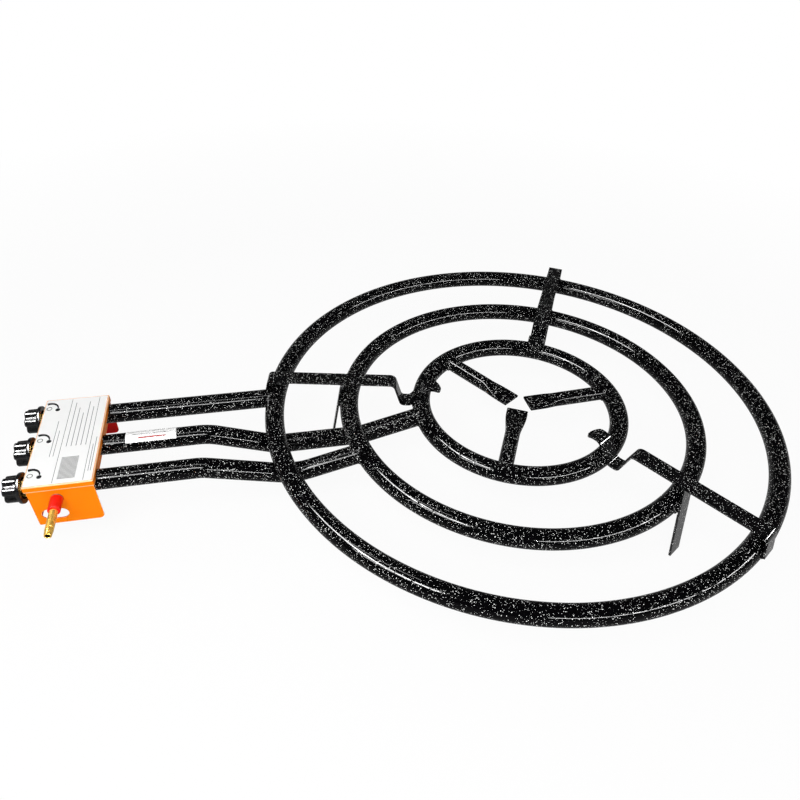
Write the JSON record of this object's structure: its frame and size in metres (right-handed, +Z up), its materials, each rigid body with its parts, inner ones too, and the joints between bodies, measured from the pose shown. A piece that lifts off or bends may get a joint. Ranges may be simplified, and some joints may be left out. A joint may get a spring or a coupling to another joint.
{
  "type": "paella burner",
  "caption": "Ring burner for large pans: concentric gas rings on flat-bar legs with bent pan supports, fed by bent tubes from a manifold box with push-and-turn taps.",
  "frame": {"origin": "on the ground under the middle of the overall length and width", "axes": "+X along the feed tubes from the manifold to the rings, +Z up"},
  "size_m": [0.9994, 0.6999, 0.1105],
  "materials": {
    "enamel": "gloss black enamel with fine white speckle",
    "orange_paint": "gloss powder coat",
    "zinc": "zinc plated",
    "steel": "turned",
    "spring_steel": "drawn wire",
    "brass": "turned",
    "fibre": "fibre washer",
    "red_sleeve": "gloss",
    "knob_plastic": "moulded, satin"
  },
  "bodies": {
    "burner": {"outer_ring": "enamel", "middle_ring": "enamel", "inner_ring": "enamel", "centre_tube_1": "enamel", "centre_tube_2": "enamel", "centre_tube_3": "enamel", "outer_feed_tube": "enamel", "middle_feed_tube": "enamel", "inner_feed_tube": "enamel", "pan_support_1": "enamel", "pan_support_2": "enamel", "pan_support_3": "enamel", "leg_1": "enamel", "leg_2": "enamel", "leg_3": "enamel", "manifold_cover": "orange_paint", "manifold_chassis": "orange_paint", "tube_plate": "orange_paint", "cover_screws": "zinc", "gas_rail": "zinc", "rail_plug": "brass", "hose_tail": "brass", "tap_body_1": "brass", "tap_body_2": "brass", "tap_body_3": "brass", "gland_nut_1": "brass", "gland_nut_2": "brass", "gland_nut_3": "brass", "injector_1": "brass", "injector_2": "brass", "injector_3": "brass", "inlet_washer": "fibre", "inlet_sleeve": "red_sleeve"},
    "tap_1": {"tap_plug_1": "brass", "tap_spring_1": "spring_steel"},
    "knob_1": {"knob_1": "knob_plastic", "tap_spindle_1": "steel"},
    "tap_2": {"tap_plug_2": "brass", "tap_spring_2": "spring_steel"},
    "knob_2": {"knob_2": "knob_plastic", "tap_spindle_2": "steel"},
    "tap_3": {"tap_plug_3": "brass", "tap_spring_3": "spring_steel"},
    "knob_3": {"knob_3": "knob_plastic", "tap_spindle_3": "steel"}
  },
  "joints": [
    {"name": "tap_1_turn", "type": "hinge", "parent": "burner", "child": "tap_1", "pos_m": [-0.47435, 0.06, 0.08], "axis": [-1, 0, 0], "range_deg": [0, 180]},
    {"name": "knob_1_push", "type": "slide", "parent": "tap_1", "child": "knob_1", "axis": [1, 0, 0], "range_m": [0, 0.003], "stiffness_N_per_m": 800, "springref_m": -0.002, "deforming": ["tap_spring_1"]},
    {"name": "tap_2_turn", "type": "hinge", "parent": "burner", "child": "tap_2", "pos_m": [-0.47435, 0, 0.08], "axis": [-1, 0, 0], "range_deg": [0, 180]},
    {"name": "knob_2_push", "type": "slide", "parent": "tap_2", "child": "knob_2", "axis": [1, 0, 0], "range_m": [0, 0.003], "stiffness_N_per_m": 800, "springref_m": -0.002, "deforming": ["tap_spring_2"]},
    {"name": "tap_3_turn", "type": "hinge", "parent": "burner", "child": "tap_3", "pos_m": [-0.47435, -0.06, 0.08], "axis": [-1, 0, 0], "range_deg": [0, 180]},
    {"name": "knob_3_push", "type": "slide", "parent": "tap_3", "child": "knob_3", "axis": [1, 0, 0], "range_m": [0, 0.003], "stiffness_N_per_m": 800, "springref_m": -0.002, "deforming": ["tap_spring_3"]}
  ]
}
